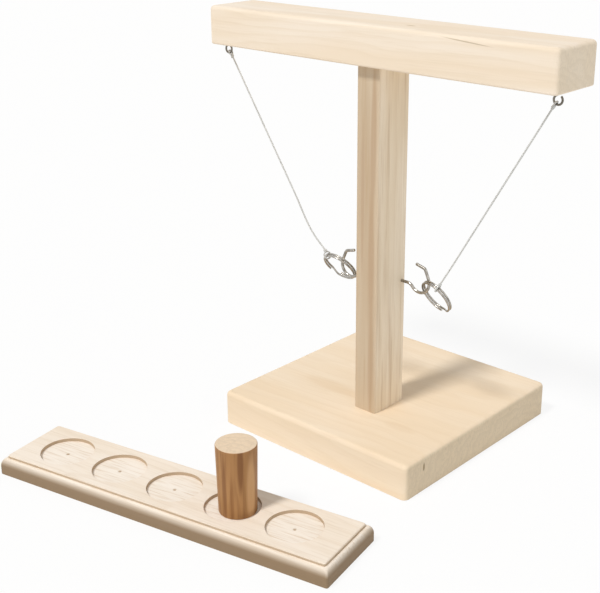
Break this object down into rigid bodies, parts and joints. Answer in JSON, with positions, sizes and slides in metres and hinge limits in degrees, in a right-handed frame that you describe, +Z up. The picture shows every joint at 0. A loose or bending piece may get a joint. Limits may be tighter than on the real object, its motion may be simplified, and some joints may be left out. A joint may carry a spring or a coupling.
{
  "type": "ring toss game",
  "caption": "Tabletop ring toss: a wooden stand whose crossbar hangs a ring on a string at each end, a hook on each side of its post to catch it, and a board of round wells with a marker peg.",
  "frame": {"origin": "centre of the base board's underside, on the table", "axes": "+X along the crossbar to its right end, +Y to the back of the stand, away from the ladder board, +Z up"},
  "size_m": [0.3652, 0.3819, 0.352],
  "materials": {
    "pine": "sanded, bare",
    "post_wood": "sanded, bare",
    "dowel_wood": "turned, bare",
    "stained_wood": "stained, satin",
    "bright_steel": "nickel plated",
    "eye_steel": "dulled plating",
    "screw_steel": "zinc plated",
    "string": "twisted polyester"
  },
  "bodies": {
    "stand": {"base_board": "pine", "post": "post_wood", "crossbar": "pine", "base_screw_front": "screw_steel", "base_screw_back": "screw_steel", "crossbar_dowel_front": "dowel_wood", "crossbar_dowel_back": "dowel_wood", "left_hook": "bright_steel", "right_hook": "bright_steel", "left_screw_eye": "eye_steel", "right_screw_eye": "eye_steel"},
    "left_line": {"left_string": "string", "left_eye_knot": "string", "left_ring_knot": "string"},
    "right_line": {"right_string": "string", "right_eye_knot": "string", "right_ring_knot": "string"},
    "left_ring": {"left_ring": "bright_steel"},
    "right_ring": {"right_ring": "bright_steel"},
    "ladder": {"ladder_board": "pine"},
    "peg": {"score_peg": "stained_wood"}
  },
  "joints": [
    {"name": "left_swing", "type": "hinge", "parent": "stand", "child": "left_line", "pos_m": [-0.145, -0.04, 0.31472], "axis": [0, 1, 0], "range_deg": [0, 115]},
    {"name": "right_swing", "type": "hinge", "parent": "stand", "child": "right_line", "pos_m": [0.175, -0.04, 0.31472], "axis": [0, -1, 0], "range_deg": [0, 118]},
    {"name": "left_ring_turn", "type": "hinge", "parent": "left_line", "child": "left_ring", "pos_m": [-0.02679, -0.0315, 0.14451], "axis": [0, 0.7986, 0.6018], "continuous": true},
    {"name": "right_ring_turn", "type": "hinge", "parent": "right_line", "child": "right_ring", "pos_m": [0.06182, -0.015, 0.1354], "axis": [-0.2155, -0.848, -0.4841], "continuous": true},
    {"name": "ladder_slide", "type": "slide", "parent": "stand", "child": "ladder", "axis": [0, -1, 0], "range_m": [0, 0.15]},
    {"name": "peg_lift", "type": "slide", "parent": "ladder", "child": "peg", "axis": [0, 0, 1], "range_m": [0, 0.06]}
  ]
}
